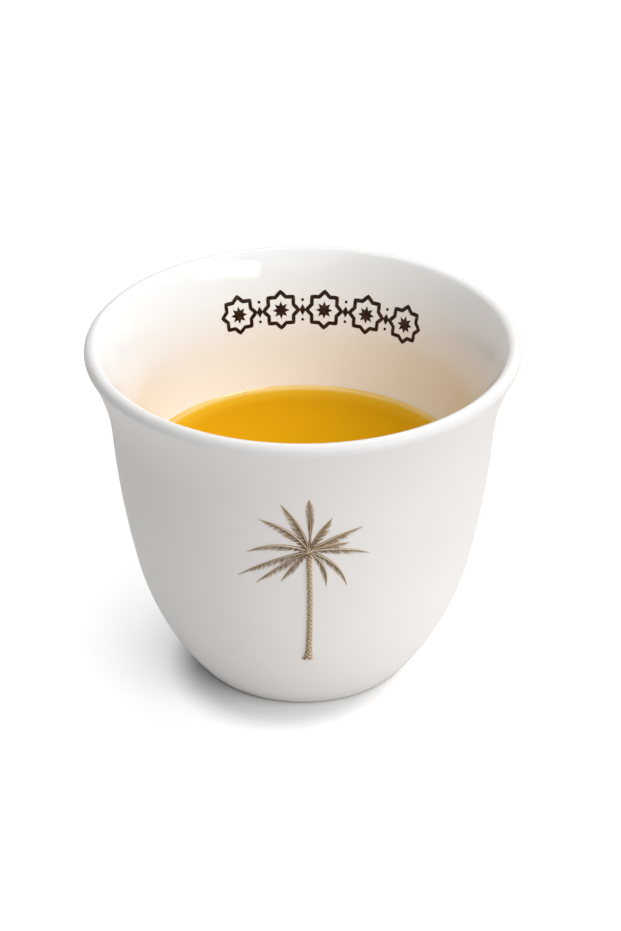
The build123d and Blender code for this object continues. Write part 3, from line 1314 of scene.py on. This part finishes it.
        # painted light: the trunk paler on its right side; boot_shade darkens its top under the heart as
        # painted shade
        tone = recipe.shaded(recipe.named("tone") - self.boot_shade * boot, 0.0, self.trunk_painted_side_light)
        below = 1.0 - share
        swell = recipe.value("Trunk Swell")
        flare = recipe.value("Trunk Foot Radius") / radius - 1.0 - swell
        flare = flare * below ** recipe.value("Trunk Flare Power")
        wide = 1.0 + swell * below**self.trunk_swell_power + flare + recipe.value("Boot Swell") * boot
        bow = recipe.value("Trunk Bow") * recipe.math("SINE", share * math.pi)
        shaped = recipe.combined(place * wide + bow, place.other("Y"), height)
        trunk = recipe.moved(recipe.store(trunk, "tone", tone), Position=shaped)
        line = upright([Vector((0.0, foot)), Vector((0.0, top))])
        self.lay(recipe, trunk, wire_host("palm_trunk_relief", [line]), "palm_trunk")

    def build_heart(self) -> None:
        """Make the heart: a dark knob, with a pale rib end for each frond running over it."""
        recipe = Recipe("palm_heart_joining", self, "heart_radius", "rib_root_width", "wall")
        ball = recipe.add("GeometryNodeMeshUVSphere", Segments=self.knob_sides, Rings=self.knob_rings)
        size = recipe.vector("SCALE", Vector=self.knob_shape, Scale=recipe.value("Heart Radius"))
        knob = recipe.shifted(ball, Scale=size, Translation=(0.0, 0.0, self.heart_height))
        # painted light: the knob paler on its right side
        knob = recipe.store(knob, "tone", recipe.shaded(0.0, 0.0, self.knob_painted_side_light))
        grown = self.rib_end_width + self.rib_end_growth * recipe.share()
        ends = recipe.swept(recipe.curve(), recipe.value("Rib Root Width") * grown, self.rib_sides)
        # painted light: the rib ends paler on faces that look up and to the right
        tone = recipe.shaded(self.rib_end_tone, self.rib_end_painted_sky_light, self.rib_painted_side_light)
        drawing = recipe.joined(knob, recipe.store(ends, "tone", tone))
        middle = Vector((0.0, -self.rib_end_lift * self.heart_radius, self.heart_height))
        seat = Vector((0.0, -self.rib_end_root_lift * self.heart_radius, self.heart_height))
        arch = Vector((0.0, self.rib_end_arch * self.heart_radius, 0.0))
        lines = []
        for bearing in [*(frond.heading for frond in self.fronds), self.trunk_heading]:
            heading = math.radians(bearing)
            way = Vector((math.sin(heading), 0.0, math.cos(heading)))
            root = seat + way * (self.heart_radius + self.root_gap)
            lines.append([middle, middle.lerp(root, 0.5) - arch, root])
        self.lay(recipe, drawing, wire_host("palm_heart_relief", lines), "palm_heart")

    def build(self) -> None:
        """Make every piece of the palm."""
        self.build_trunk()
        self.build_heart()
        self.build_fronds()


# The painted band inside


@dataclass
class StarBand:
    """A short painted row of eight-pointed stars and lozenges on the inner back wall."""

    wall: Object
    finish: Finish = field(default_factory=BrownInk)
    bearing: float = math.radians(8.9)
    height: float = 45.8 * MM
    wall_radius: float = 27.6 * MM
    star_count: int = 5
    pitch: float = 7.1 * MM
    star_points: int = 8
    star_radius: float = 2.9 * MM
    star_share: float = 0.765
    outline_steps: int = 64
    line_width: float = 0.6 * MM
    rosette_radius: float = 1.4 * MM
    rosette_share: float = 0.55
    lozenge_height: float = 1.8 * MM
    lozenge_width: float = 1.05 * MM
    dot_share: float = 0.45
    dot_reach: float = 1.75
    dot_steps: int = 16
    thickness: float = 0.03 * MM
    sink: float = 0.02 * MM
    weld: float = 0.001 * MM

    def slab(self, recipe: Recipe, outline: Wire) -> Wire:
        """A filled outline, as thick as the paint.

        Args:
            recipe: The band's tree.
            outline: A closed flat curve.

        Returns:
            The slab's mesh.
        """
        face = recipe.add("GeometryNodeFillCurve", {"mode": "TRIANGLES"}, Curve=outline)
        depth = recipe.value("Thickness") + self.sink
        sockets = {"Mesh": face, "Offset": (0.0, 0.0, 1.0), "Offset_Scale": depth, "Individual": False}
        top = recipe.add("GeometryNodeExtrudeMesh", **sockets)
        back = recipe.add("GeometryNodeFlipFaces", Mesh=face)
        return recipe.welded(recipe.joined(top, back), self.weld)

    def outline(self, recipe: Recipe, label: str, share: float) -> Wire:
        """A star's outline.

        Args:
            recipe: The band's tree.
            label: The input for its radius.
            share: The share of the radius between two points.

        Returns:
            The closed curve.
        """
        radius = recipe.value(label)
        sockets = {"Points": self.star_points, "Outer_Radius": radius, "Inner_Radius": radius * share}
        return recipe.add("GeometryNodeCurveStar", **sockets)

    def star(self, recipe: Recipe) -> Wire:
        """One star: an outline of two crossed squares round a filled rosette.

        Args:
            recipe: The band's tree.

        Returns:
            The star's mesh, flat in XY.
        """
        outline = self.outline(recipe, "Star Radius", self.star_share)
        outline = recipe.add("GeometryNodeResampleCurve", Curve=outline, Count=self.outline_steps)
        depth = recipe.value("Thickness") + self.sink
        sockets = {"Width": recipe.value("Line Width"), "Height": depth}
        stroke = recipe.add("GeometryNodeCurvePrimitiveQuadrilateral", **sockets)
        ring = recipe.add("GeometryNodeCurveToMesh", Curve=outline, Profile_Curve=stroke)
        ring = recipe.shifted(ring, Translation=recipe.combined(0.0, 0.0, depth * 0.5))
        rosette = self.slab(recipe, self.outline(recipe, "Rosette Radius", self.rosette_share))
        return recipe.joined(ring, rosette)

    def lozenge(self, recipe: Recipe) -> Wire:
        """One lozenge with a dot above and below it.

        Args:
            recipe: The band's tree.

        Returns:
            The mesh, flat in XY.
        """
        half_width = recipe.value("Lozenge Width") * 0.5
        half_height = recipe.value("Lozenge Height") * 0.5
        sockets = {
            "Point_1": recipe.combined(0.0, half_height, 0.0),
            "Point_2": recipe.combined(half_width, 0.0, 0.0),
            "Point_3": recipe.combined(0.0, -1.0 * half_height, 0.0),
            "Point_4": recipe.combined(-1.0 * half_width, 0.0, 0.0),
        }
        diamond = recipe.add("GeometryNodeCurvePrimitiveQuadrilateral", {"mode": "POINTS"}, **sockets)
        sockets = {"Resolution": self.dot_steps, "Radius": half_width * self.dot_share}
        dot = self.slab(recipe, recipe.add("GeometryNodeCurvePrimitiveCircle", **sockets))
        lifts = [recipe.combined(0.0, half_height * way, 0.0) for way in (-self.dot_reach, self.dot_reach)]
        dots = [recipe.shifted(dot, Translation=lift) for lift in lifts]
        return recipe.joined(self.slab(recipe, diamond), *dots)

    def row(self, recipe: Recipe, motif: Wire, count: Wire) -> Wire:
        """Copies of a motif side by side, centred.

        Args:
            recipe: The band's tree.
            motif: The mesh to repeat.
            count: How many.

        Returns:
            The copies as instances.
        """
        pitch = recipe.value("Pitch")
        start = recipe.combined((1.0 - count) * pitch * 0.5, 0.0, 0.0)
        sockets = {"Count": count, "Start_Location": start, "Offset": recipe.combined(pitch, 0.0, 0.0)}
        return recipe.copied(recipe.add("GeometryNodeMeshLine", **sockets), motif)

    def build(self) -> Object:
        """Paint the band.

        Returns:
            The band.
        """
        fields = ["star_count", "pitch", "star_radius", "line_width", "rosette_radius"]
        fields += ["lozenge_height", "lozenge_width", "thickness", "wall"]
        recipe = Recipe("star_band_painting", self, *fields)
        stars = self.row(recipe, self.star(recipe), recipe.value("Star Count"))
        lozenges = self.row(recipe, self.lozenge(recipe), recipe.value("Star Count") - 1.0)
        place = recipe.place()
        angle = self.bearing + place / self.wall_radius
        start = recipe.combined(0.0, 0.0, place.other("Y") + self.height)
        direction = recipe.combined(recipe.math("SINE", angle), recipe.math("COSINE", angle), 0.0)
        band = recipe.laid(recipe.joined(stars, lozenges), start, direction, place.other("Z") - self.sink)
        host = wire_host("inner_star_band", [[Vector()]])
        return settle(recipe.made(host, band, self.finish.material(), smooth=False), Slot.PALM_ENAMEL)


# The studio


def way_to(bearing: float, elevation: float) -> Vector:
    """The direction from the cup to a bearing from the front, to the right, and an elevation."""
    level = Vector((math.sin(bearing), -math.cos(bearing), 0.0))
    return level * math.cos(elevation) + Vector((0.0, 0.0, math.sin(elevation)))


@dataclass(frozen=True)
class OverheadLamp:
    """One broad, far lamp of the row overhead."""

    name: str
    direction: tuple[float, float, float]
    strength: float
    angle: float = math.radians(50.0)


@dataclass(frozen=True)
class Softbox:
    """A rectangular lamp, placed by its bearing from the front and its elevation."""

    name: str
    bearing: float
    elevation: float
    width: float
    height: float
    power: float
    distance: float = 0.8


@dataclass
class Studio:
    """Floor, lights and camera."""

    floor_half: float = 3.0
    ambient: float = 0.06
    sky_colour: Colour = (1.0, 0.99, 0.98)
    seen_colour: Colour = (1.0, 1.0, 1.0)
    overhead: tuple[OverheadLamp, ...] = (
        OverheadLamp("overhead_middle", (0.0, 0.0, 1.0), 0.65),
        OverheadLamp("overhead_front", (0.0, -0.6, 0.8), 0.75),
        OverheadLamp("overhead_back", (0.28, 0.57, 0.77), 1.33),
    )
    softboxes: tuple[Softbox, ...] = (
        Softbox("front_softbox", math.radians(46.0), math.radians(33.0), 0.5, 0.15, 1.6),
        Softbox("side_softbox", math.radians(72.0), math.radians(45.0), 0.7, 0.5, 2.05),
    )
    aim_height: float = 32.6 * MM
    aim_shift: float = 1.131 * MM
    camera_distance: float = 402.8 * MM
    camera_elevation: float = math.radians(30.58)
    camera_azimuth: float = math.radians(1.83)
    focal_pixels: float = 2600.0
    frame_pixels: float = 931.0
    sensor: float = 36.0
    clip_start: float = 10.0 * MM

    @staticmethod
    def aimed(name: str, data: Any, way: Vector, place: Vector) -> Object:
        """A lamp or camera that looks at the cup.

        Args:
            name: The object's name.
            data: The lamp or camera.
            way: The direction from the cup to it.
            place: Where it stands.

        Returns:
            The object.
        """
        made = linked(name, data)
        made.location = place
        made.rotation_mode = "QUATERNION"
        made.rotation_quaternion = (-way).to_track_quat("-Z", "Y")
        return made

    def build_floor(self) -> None:
        """Lay the floor."""
        half = self.floor_half
        mesh = bpy.data.meshes.new("studio_floor")
        corners = [(-half, -half, 0.0), (half, -half, 0.0), (half, half, 0.0), (-half, half, 0.0)]
        mesh.from_pydata(corners, [], [(0, 1, 2, 3)])
        mesh.materials.append(StudioFloor().material())
        linked("studio_floor", mesh)

    def build_world(self) -> None:
        """Surround the scene with soft light, white where it is seen or mirrored."""
        world = bpy.data.worlds.new("studio_world")
        bpy.context.scene.world = world
        world.use_nodes = True
        world.node_tree.nodes.clear()
        canvas = Canvas(world.node_tree)
        soft = canvas.add("ShaderNodeBackground", Color=self.sky_colour, Strength=self.ambient)
        white = canvas.add("ShaderNodeBackground", Color=self.seen_colour, Strength=1.0)
        path = canvas.add("ShaderNodeLightPath", out="Is Camera Ray")
        seen = canvas.math("MAXIMUM", path, path.other("Is Glossy Ray"))
        seen = canvas.math("MAXIMUM", seen, path.other("Is Transmission Ray"))
        mix = canvas.add("ShaderNodeMixShader", Fac=seen, Shader=soft, Shader_001=white)
        canvas.add("ShaderNodeOutputWorld", Surface=mix)

    def build_lamps(self) -> None:
        """Hang the broad lamps overhead and stand the softboxes at the front and at the right."""
        for row in self.overhead:
            lamp = bpy.data.lights.new(row.name, "SUN")
            lamp.energy = row.strength
            lamp.angle = row.angle
            self.aimed(row.name, lamp, Vector(row.direction), Vector())
        for row in self.softboxes:
            lamp = bpy.data.lights.new(row.name, "AREA")
            lamp.shape = "RECTANGLE"
            lamp.size = row.width
            lamp.size_y = row.height
            lamp.energy = row.power
            way = way_to(row.bearing, row.elevation)
            self.aimed(row.name, lamp, way, Vector((0.0, 0.0, self.aim_height)) + way * row.distance)

    def build_camera(self) -> None:
        """Stand the camera where the photograph was taken from."""
        lens = bpy.data.cameras.new("camera")
        lens.sensor_width = self.sensor
        lens.lens = self.sensor * self.focal_pixels / self.frame_pixels
        lens.clip_start = self.clip_start
        across = Vector((math.cos(self.camera_azimuth), -math.sin(self.camera_azimuth), 0.0))
        aim = Vector((0.0, 0.0, self.aim_height)) + across * self.aim_shift
        way = way_to(-self.camera_azimuth, self.camera_elevation)
        bpy.context.scene.camera = self.aimed("camera", lens, way, aim + way * self.camera_distance)

    def build(self) -> None:
        """Set up the whole studio."""
        bpy.context.scene.view_settings.view_transform = "Standard"
        self.build_floor()
        self.build_world()
        self.build_lamps()
        self.build_camera()


def main() -> None:
    """Build the cup, what it holds, what is on it, and the studio."""
    logging.basicConfig(level=logging.INFO, format="%(message)s")
    cup = PorcelainCup().build()
    CoffeeFill().build()
    PalmRelief(cup).build()
    StarBand(cup).build()
    Studio().build()


if __name__ == "__main__":
    main()
